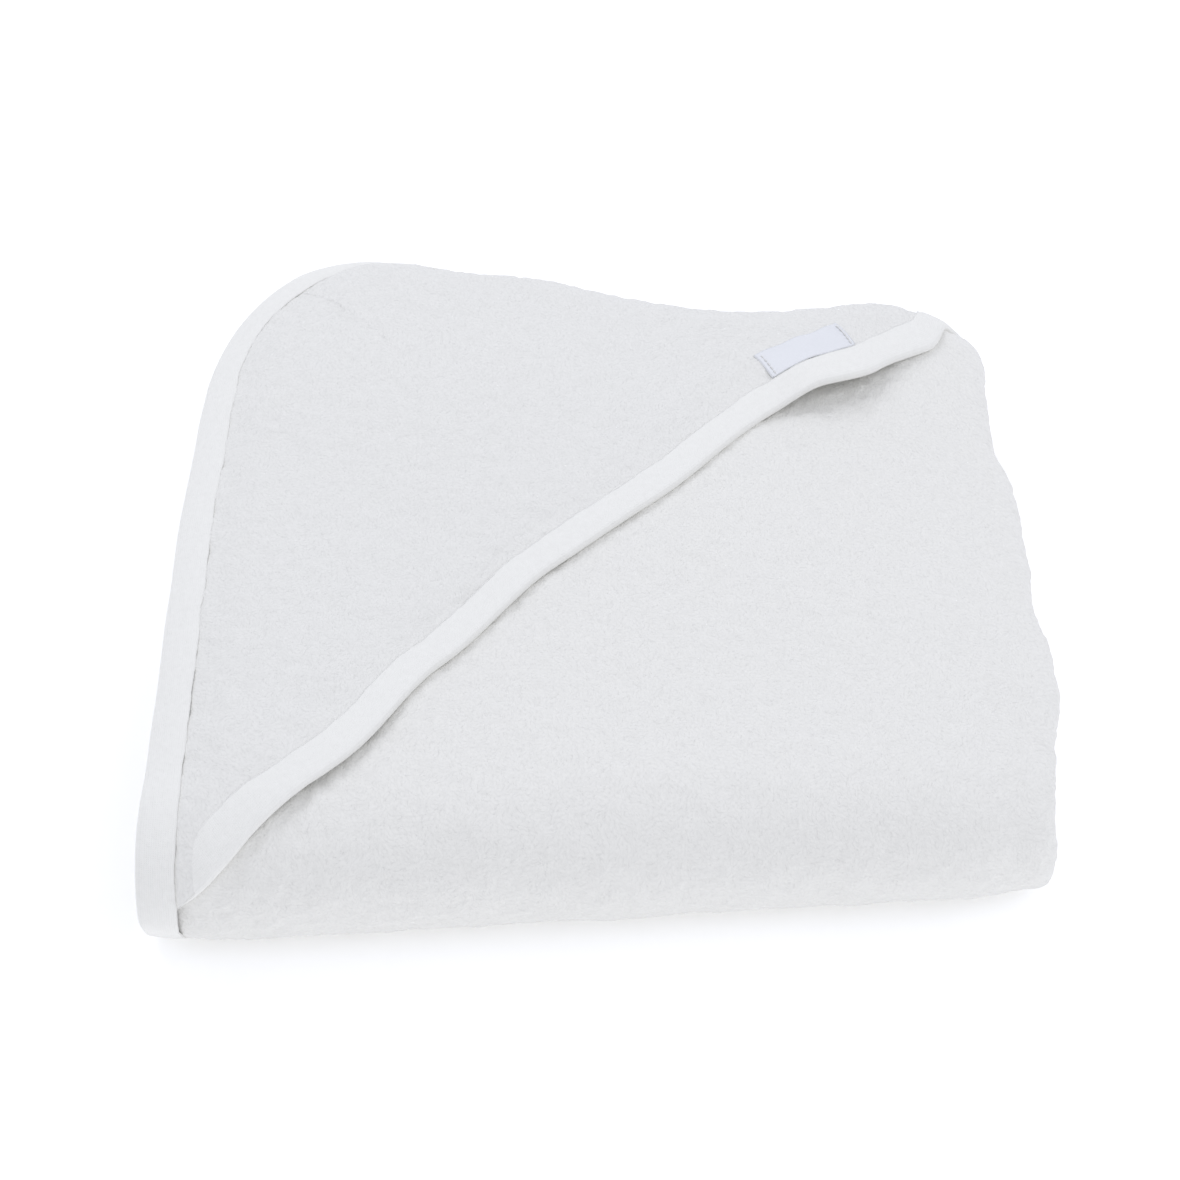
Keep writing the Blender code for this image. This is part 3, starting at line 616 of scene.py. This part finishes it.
def stitches(name, places, material, on_hood=False):
    """Separate stitches. places gives each one's two ends as ((u, v, w), (u, v, w))."""
    ends = np.array(places)
    shares = np.linspace(0, 1, 7)
    sink = 0.0004 * (np.abs(shares - 0.5) * 2) ** 5
    centre = ends[:, :1] + (ends[:, 1:] - ends[:, :1]) * shares[None, :, None]
    centre[..., 2] -= sink
    line = folded(centre[..., 0], centre[..., 1], centre[..., 2], on_hood=on_hood)
    above = folded(centre[..., 0], centre[..., 1], centre[..., 2] + 0.001, on_hood=on_hood)
    along = np.gradient(line, axis=1)
    along /= np.linalg.norm(along, axis=-1, keepdims=True)
    up = above - line
    up -= (up * along).sum(-1, keepdims=True) * along
    up /= np.linalg.norm(up, axis=-1, keepdims=True)
    side = np.cross(along, up)
    radius = THREAD_RADIUS * np.array([0.55, 0.9, 1.05, 1.1, 1.05, 0.9, 0.55])
    sides = 7
    angle = np.arange(sides) * 2 * math.pi / sides
    ring = (
        line[:, :, None]
        + radius[None, :, None, None] * (np.cos(angle)[None, None, :, None] * side[:, :, None] * 1.25
        + np.sin(angle)[None, None, :, None] * up[:, :, None])
    )
    count = len(ends)
    points = np.concatenate([ring.reshape(count, -1, 3), line[:, [0, -1]]], axis=1)
    size = 7 * sides + 2
    index = np.arange(7 * sides).reshape(7, sides)
    after = np.roll(index, -1, 1)
    body = np.stack([index[:-1], after[:-1], after[1:], index[1:]], -1).reshape(-1, 4)
    triangles = np.concatenate([body[:, [0, 1, 2]], body[:, [0, 2, 3]]])
    start = np.stack([after[0], index[0], np.full(sides, size - 2)], -1)
    finish = np.stack([index[-1], after[-1], np.full(sides, size - 1)], -1)
    triangles = np.concatenate([triangles, start, finish])
    faces = (triangles[None] + (np.arange(count) * size)[:, None, None]).reshape(-1, 3)
    travel = np.broadcast_to(np.repeat(shares * STITCH, sides)[None], (count, 7 * sides))
    round_way = np.broadcast_to(np.tile(angle * THREAD_RADIUS, 7)[None], (count, 7 * sides))
    uv = np.stack([travel, round_way], -1)
    uv = np.concatenate([uv, np.zeros((count, 2, 2))], axis=1)
    return add_mesh(name, points.reshape(-1, 3), faces, uv.reshape(-1, 2), material)


def edge_stitches(name, upper, material):
    path, travel = border_path(0.0008)
    lift = beside_hood(path)
    inset = BINDING_WIDTH - STITCH_INSET
    pitch = STITCH + STITCH_GAP
    starts = np.arange(0, travel[-1] - pitch, pitch) + (0 if upper else pitch / 2)
    places = []
    jitter = np.random.default_rng(31).uniform(-0.00012, 0.00012, (len(starts), 2))
    for begin, (a, b) in zip(starts, jitter, strict=True):
        pair = []
        for s, off in ((begin, a), (begin + STITCH, b)):
            u, v, du, dv, top = (np.interp(s, travel, column) for column in (*path.T, lift))
            height = TAPE_HALF + TAPE_LIFT * top + NEEDLE_LIFT if upper else -TAPE_HALF - NEEDLE_LIFT
            pair.append((u + du * (inset + off), v + dv * (inset + off), height))
        places.append(pair)
    return stitches(name, places, material)


def hood_stitches(material):
    pitch = STITCH + STITCH_GAP
    inset = BINDING_WIDTH - STITCH_INSET
    high = mouth_heights()[1] + HOOD_NEEDLE_LIFT
    places = []
    begin = 0.024
    while begin + STITCH < (HOOD_LEG - 0.017) * ROOT2:
        pair = []
        for s in (begin, begin + STITCH):
            pair.append(tuple(map(float, tucked(*mouth_uv(s / ROOT2, inset), high))))
        places.append(pair)
        begin += pitch
    return stitches("hood_binding_stitches", places, material, on_hood=True)


def label_surface(stop, distance, w):
    u, v = mouth_uv(stop, distance)
    _, upper, _ = hood_faces(u, v)
    return u, v, upper + LABEL_GAP + w


def make_label(material):
    reach = LABEL_LENGTH / 2 / ROOT2
    stops = spaced(LABEL_U - reach, LABEL_U + reach, 0.0005)
    distances = spaced(BINDING_END - 0.0002, LABEL_END, 0.0006)
    stop, distance = np.meshgrid(stops, distances)
    along = (stop - stops[0]) / (stops[-1] - stops[0])
    inward = (distance - distances[0]) / LABEL_WIDTH
    curl = 0.0002 * (2 * inward - 1) ** 4 * np.sin(along * 9 + 0.5) ** 2
    curl += 0.0002 * np.sin(along * 17) * inward
    thick = 0.00042 + 0.00016 * (smooth(-along, -0.045, -0.03) + smooth(along, 0.955, 0.97))
    u, v, top = label_surface(stop, distance, thick + curl + 0.00015)
    _, _, under = label_surface(stop, distance, curl)
    uv = np.stack([(stop * ROOT2).ravel(), distance.ravel()], 1)
    upper = folded(u, v, top, on_hood=True).reshape(-1, 3)
    lower = folded(u, v, under, on_hood=True).reshape(-1, 3)
    cells = grid_cells(len(distances), len(stops))
    return closed_sheet("hood_label_woven", upper, lower, cells, uv, material)


def label_stitches(name, at_left, material):
    reach = LABEL_LENGTH / 2 / ROOT2
    stop = LABEL_U - reach + 0.0010 if at_left else LABEL_U + reach - 0.0010
    places = []
    begin = BINDING_END + 0.0006
    while begin + 0.0019 < LABEL_END:
        pair = []
        for distance in (begin, begin + 0.0019):
            u, v, w = label_surface(stop, distance, 0.0009)
            pair.append((float(u), float(v), float(w)))
        places.append(pair)
        begin += 0.0023
    return stitches(name, places, material, on_hood=True)


# ---------------------------------------------------------------- materials


class Nodes:
    """Short words for building one material's nodes."""

    def __init__(self, name):
        self.material = bpy.data.materials.new(name)
        self.material.use_nodes = True
        self.tree = self.material.node_tree
        self.shader = self.tree.nodes["Principled BSDF"]

    def add(self, kind, **settings):
        node = self.tree.nodes.new(kind)
        for key, value in settings.items():
            if key.startswith("in_"):
                node.inputs[key[3:].replace("_", " ")].default_value = value
            else:
                setattr(node, key, value)
        return node

    def link(self, source, target):
        self.tree.links.new(source, target)

    def math(self, operation, a, b=None, clamp=False):
        node = self.add("ShaderNodeMath", operation=operation, use_clamp=clamp)
        for socket, value in zip(node.inputs, (a, b), strict=False):
            if value is None:
                continue
            if isinstance(value, (int, float)):
                socket.default_value = value
            else:
                self.link(value, socket)
        return node.outputs[0]

    def flat(self):
        return self.add("ShaderNodeUVMap", uv_map="flat").outputs[0]

    def scaled(self, vector, scale, shift=(0, 0, 0)):
        node = self.add("ShaderNodeMapping")
        node.inputs["Scale"].default_value = scale
        node.inputs["Location"].default_value = shift
        self.link(vector, node.inputs["Vector"])
        return node.outputs[0]

    def noise(self, vector, scale, detail=2.0, rough=0.5, distortion=0.0):
        node = self.add(
            "ShaderNodeTexNoise", in_Scale=scale, in_Detail=detail, in_Roughness=rough,
            in_Distortion=distortion,
        )
        self.link(vector, node.inputs["Vector"])
        return node.outputs[0]

    def ramp(self, value, stops):
        node = self.add("ShaderNodeValToRGB")
        elements = node.color_ramp.elements
        while len(elements) < len(stops):
            elements.new(0.5)
        for element, (place, colour) in zip(elements, stops, strict=True):
            element.position = place
            element.color = (*colour, 1.0)
        self.link(value, node.inputs[0])
        return node.outputs[0]

    def bump(self, height, distance, strength=1.0, after=None):
        node = self.add("ShaderNodeBump", in_Strength=strength, in_Distance=distance)
        self.link(height, node.inputs["Height"])
        if after is not None:
            self.link(after, node.inputs["Normal"])
        return node.outputs[0]


def tufts(nodes, vector, scale, turn_from, long_way, shift):
    """Small leaning tufts: each cell is one oval bump, turned by its own angle and by the lie of the pile."""
    moved = nodes.scaled(vector, (1, 1, 1), shift)
    cells = nodes.add(
        "ShaderNodeTexVoronoi", voronoi_dimensions="2D", feature="F1", in_Scale=scale, in_Randomness=1.0,
    )
    nodes.link(moved, cells.inputs["Vector"])
    local = nodes.add("ShaderNodeVectorMath", operation="SUBTRACT")
    nodes.link(moved, local.inputs[0])
    nodes.link(cells.outputs["Position"], local.inputs[1])
    own = nodes.add("ShaderNodeSeparateColor")
    nodes.link(cells.outputs["Color"], own.inputs[0])
    turn = nodes.math("ADD", nodes.math("MULTIPLY", own.outputs[0], 1.5), turn_from)
    turned = nodes.add("ShaderNodeVectorRotate", rotation_type="Z_AXIS")
    nodes.link(local.outputs[0], turned.inputs["Vector"])
    nodes.link(turn, turned.inputs["Angle"])
    parts = nodes.add("ShaderNodeSeparateXYZ")
    nodes.link(turned.outputs[0], parts.inputs[0])
    x = nodes.math("MULTIPLY", parts.outputs[0], scale / long_way)
    y = nodes.math("MULTIPLY", parts.outputs[1], scale * long_way)
    square = nodes.math("ADD", nodes.math("MULTIPLY", x, x), nodes.math("MULTIPLY", y, y))
    height = nodes.math("SUBTRACT", 1.0, nodes.math("MULTIPLY", square, 1.7), clamp=True)
    return nodes.math("MULTIPLY", height, nodes.math("ADD", nodes.math("MULTIPLY", own.outputs[1], 0.5), 0.5))


def terry_material(name, tint, turn_bias):
    """Looped cotton pile: leaning tufts in swirls, clumps, stray fibres, soft sheen."""
    nodes = Nodes(name)
    flat = nodes.flat()
    swirl = nodes.noise(flat, 0.055, 2.0, 0.55)
    turn = nodes.math("ADD", nodes.math("MULTIPLY", swirl, 14.0), turn_bias)
    coarse = tufts(nodes, flat, 0.62, turn, 1.45, (0.0, 0.0, 0.0))
    middle = tufts(nodes, flat, 0.78, turn, 1.5, (31.3, 17.9, 0.0))
    fine = tufts(nodes, flat, 1.25, turn, 1.35, (11.1, 47.7, 0.0))
    height = nodes.math("MAXIMUM", nodes.math("MAXIMUM", coarse, middle), nodes.math("MULTIPLY", fine, 0.85))
    clumps = nodes.noise(flat, 0.23, 3.0, 0.6, 0.6)
    fibres = nodes.noise(flat, 3.6, 3.0, 0.7, 0.4)
    relief = nodes.math("ADD", height, nodes.math("MULTIPLY", clumps, 0.9))
    relief = nodes.math("ADD", relief, nodes.math("MULTIPLY", fibres, 0.20))
    normal = nodes.bump(relief, 0.00030, 0.65)
    nodes.link(normal, nodes.shader.inputs["Normal"])
    # Painted shade: the base colour falls to 93% of the tint where the tufts and clumps are low, darkening
    # the pile's hollows
    depth = nodes.math("ADD", nodes.math("MULTIPLY", height, 0.55), nodes.math("MULTIPLY", clumps, 0.45))
    low = tuple(value * 0.93 for value in tint)
    colour = nodes.ramp(depth, [(0.12, low), (0.42, tuple(value * 0.955 for value in tint)), (0.78, tint)])
    nodes.link(colour, nodes.shader.inputs["Base Color"])
    roughness = nodes.math("ADD", 0.86, nodes.math("MULTIPLY", fibres, 0.12))
    nodes.link(roughness, nodes.shader.inputs["Roughness"])
    nodes.shader.inputs["Sheen Weight"].default_value = 0.35
    nodes.shader.inputs["Sheen Roughness"].default_value = 0.45
    nodes.shader.inputs["Specular IOR Level"].default_value = 0.2
    return nodes.material


WALES_PER_MM = 1.45
COURSES_PER_MM = 1.9


def jersey_material():
    """Fine single jersey: columns of tiny V stitches, a little uneven."""
    nodes = Nodes("jersey_tape")
    flat = nodes.flat()
    split = nodes.add("ShaderNodeSeparateXYZ")
    nodes.link(flat, split.inputs[0])
    wander = nodes.math("MULTIPLY", nodes.noise(flat, 0.35, 2.0), 0.5)
    course = nodes.math("ADD", split.outputs[0], wander)
    in_wale = nodes.math("FRACT", nodes.math("MULTIPLY", split.outputs[1], WALES_PER_MM))
    lean = nodes.math("ABSOLUTE", nodes.math("SUBTRACT", in_wale, 0.5))
    wale = nodes.math("SINE", nodes.math("MULTIPLY", split.outputs[1], 2 * math.pi * WALES_PER_MM))
    in_course = nodes.math("MULTIPLY", course, 2 * math.pi * COURSES_PER_MM)
    loop = nodes.math("SINE", nodes.math("ADD", in_course, nodes.math("MULTIPLY", lean, 5.0)))
    knit = nodes.math("ADD", nodes.math("MULTIPLY", wale, 0.5), nodes.math("MULTIPLY", loop, 0.35))
    fuzz = nodes.noise(flat, 5.5, 3.0, 0.65)
    soft = nodes.noise(flat, 0.42, 2.0, 0.5)
    first = nodes.bump(soft, 0.0006, 0.55)
    second = nodes.bump(nodes.math("ADD", knit, fuzz), 0.00007, 0.6, first)
    nodes.link(second, nodes.shader.inputs["Normal"])
    soft_share = nodes.math("MULTIPLY", soft, 0.9)
    shade = nodes.math("ADD", nodes.math("MULTIPLY", knit, 0.25), soft_share, clamp=True)
    colour = nodes.ramp(shade, [(0.1, (0.865, 0.860, 0.825)), (0.7, (0.905, 0.900, 0.865))])
    nodes.link(colour, nodes.shader.inputs["Base Color"])
    nodes.link(nodes.math("ADD", 0.74, nodes.math("MULTIPLY", fuzz, 0.16)), nodes.shader.inputs["Roughness"])
    nodes.shader.inputs["Sheen Weight"].default_value = 0.18
    nodes.shader.inputs["Sheen Roughness"].default_value = 0.5
    nodes.shader.inputs["Specular IOR Level"].default_value = 0.25
    return nodes.material


def label_material():
    """A woven satin label: fine crosswise floats with a slight cool lustre."""
    nodes = Nodes("woven_label")
    flat = nodes.flat()
    split = nodes.add("ShaderNodeSeparateXYZ")
    nodes.link(flat, split.inputs[0])
    weft = nodes.math("SINE", nodes.math("MULTIPLY", split.outputs[1], 2 * math.pi * 3.2))
    warp = nodes.math("SINE", nodes.math("MULTIPLY", split.outputs[0], 2 * math.pi * 2.4))
    weave = nodes.math("ADD", nodes.math("MULTIPLY", weft, 0.7), nodes.math("MULTIPLY", warp, 0.3))
    grain = nodes.noise(nodes.scaled(flat, (0.5, 3.0, 1.0)), 2.0, 3.0, 0.6)
    height = nodes.math("ADD", weave, nodes.math("MULTIPLY", grain, 0.8))
    nodes.link(nodes.bump(height, 0.00005, 0.5), nodes.shader.inputs["Normal"])
    weave_share = nodes.math("MULTIPLY", weave, 0.12)
    tone = nodes.math("ADD", nodes.math("MULTIPLY", grain, 0.8), weave_share, clamp=True)
    colour = nodes.ramp(tone, [(0.1, (0.79, 0.805, 0.835)), (0.8, (0.87, 0.88, 0.90))])
    nodes.link(colour, nodes.shader.inputs["Base Color"])
    nodes.link(nodes.math("ADD", 0.36, nodes.math("MULTIPLY", grain, 0.18)), nodes.shader.inputs["Roughness"])
    nodes.shader.inputs["Anisotropic"].default_value = 0.5
    nodes.shader.inputs["Specular IOR Level"].default_value = 0.45
    return nodes.material


def thread_material():
    """Twisted sewing thread."""
    nodes = Nodes("sewing_thread")
    flat = nodes.flat()
    split = nodes.add("ShaderNodeSeparateXYZ")
    nodes.link(flat, split.inputs[0])
    along = nodes.math("MULTIPLY", split.outputs[0], 9.0)
    plies = nodes.math("SINE", nodes.math("ADD", along, nodes.math("MULTIPLY", split.outputs[1], 14.0)))
    nodes.link(nodes.bump(plies, 0.00006, 0.6), nodes.shader.inputs["Normal"])
    colour = nodes.ramp(plies, [(0.2, (0.78, 0.778, 0.76)), (0.8, (0.88, 0.878, 0.86))])
    nodes.link(colour, nodes.shader.inputs["Base Color"])
    nodes.shader.inputs["Roughness"].default_value = 0.5
    nodes.shader.inputs["Sheen Weight"].default_value = 0.2
    return nodes.material


def floor_material():
    nodes = Nodes("white_floor")
    where = nodes.add("ShaderNodeTexCoord").outputs["Object"]
    tone = nodes.noise(where, 1.3, 2.0)
    colour = nodes.ramp(tone, [(0.0, (0.93, 0.935, 0.945)), (1.0, (0.95, 0.95, 0.955))])
    nodes.link(colour, nodes.shader.inputs["Base Color"])
    nodes.shader.inputs["Roughness"].default_value = 0.8
    nodes.shader.inputs["Specular IOR Level"].default_value = 0.1
    nodes.shader.inputs["Emission Color"].default_value = (1.0, 1.0, 1.0, 1.0)
    nodes.shader.inputs["Emission Strength"].default_value = 0.25
    return nodes.material


# ---------------------------------------------------------------- the studio

ROOM_COLOUR = (0.918, 0.934, 1.0, 1.0)
ROOM_STRENGTH = 0.755
LAMP_COLOUR = (0.925, 0.940, 1.0)
FLOOR_REACH = 4.0
FLOOR_Z = -0.0002
LENS = 86.2
CAMERA_DISTANCE = 0.961
CAMERA_HEIGHT = math.radians(40)
CAMERA_TARGET_Z = 0.028


def add_softbox(name, place, target, width, height, energy):
    data = bpy.data.lights.new(name, "AREA")
    data.shape = "RECTANGLE"
    data.size, data.size_y, data.energy, data.color = width, height, energy, LAMP_COLOUR
    lamp = bpy.data.objects.new(name, data)
    lamp.location = place
    aim(lamp, target)
    bpy.context.scene.collection.objects.link(lamp)


def aim(thing, target):
    way = np.array(target) - np.array(thing.location)
    flat_way = math.hypot(way[0], way[1])
    thing.rotation_euler = (math.atan2(flat_way, -way[2]), 0.0, math.atan2(-way[0], way[1]))


def make_studio():
    signs = ((-1, -1), (1, -1), (1, 1), (-1, 1))
    corners = np.array([(x * FLOOR_REACH, y * FLOOR_REACH, FLOOR_Z) for x, y in signs])
    floor = add_mesh("studio_floor", corners, np.array([[0, 1, 2, 3]]), corners[:, :2], floor_material())
    world = bpy.data.worlds.new("soft_room")
    world.use_nodes = True
    background = world.node_tree.nodes["Background"]
    background.inputs["Color"].default_value = ROOM_COLOUR
    background.inputs["Strength"].default_value = ROOM_STRENGTH
    bpy.context.scene.world = world
    target = (0.0, 0.0, 0.03)
    add_softbox("key_softbox", (-0.45, 0.70, 1.30), target, 1.1, 0.8, energy=5.5)
    add_softbox("fill_softbox", (0.80, -0.45, 1.20), target, 1.2, 0.9, energy=3.5)
    camera_data = bpy.data.cameras.new("camera")
    camera_data.lens = LENS
    camera_data.sensor_width = 36.0
    camera = bpy.data.objects.new("camera", camera_data)
    target = np.array([-STACK_MIDDLE[0], -STACK_MIDDLE[1], CAMERA_TARGET_Z])
    way = np.array([0, -math.cos(CAMERA_HEIGHT), math.sin(CAMERA_HEIGHT)])
    camera.location = target + CAMERA_DISTANCE * way
    aim(camera, target)
    bpy.context.scene.collection.objects.link(camera)
    bpy.context.scene.camera = camera
    bpy.context.scene.view_settings.view_transform = "Standard"


def main():
    make_studio()
    towel_look = terry_material("towel_terry", (0.868, 0.860, 0.824), 0.0)
    # Painted shade: the hood's terry tint is a little darker than the towel's, to give the hood a greyer look
    # than the body
    shaded_hood_look = terry_material("hood_terry", (0.850, 0.844, 0.812), 1.1)
    jersey, label, thread = jersey_material(), label_material(), thread_material()
    made = [
        (make_towel(towel_look), "terry", ["towel_panel"]),
        (make_hood(shaded_hood_look), "hood_terry", ["hood_panel"]),
        (make_edge_tape(jersey), "binding", ["edge_binding"]),
        (make_hood_tape(jersey), "binding", ["hood_binding"]),
        (edge_stitches("edge_needle_stitches", True, thread), "thread", ["edge_needle_thread"]),
        (edge_stitches("edge_bobbin_stitches", False, thread), "thread", ["edge_bobbin_thread"]),
        (hood_stitches(thread), "thread", ["hood_needle_thread"]),
        (make_label(label), "label", ["hood_label"]),
        (label_stitches("label_stitches_left", True, thread), "thread", ["label_thread_left"]),
        (label_stitches("label_stitches_right", False, thread), "thread", ["label_thread_right"]),
    ]
    for piece, slot, nodes in made:
        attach(piece, "root")
        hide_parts(*nodes)


main()
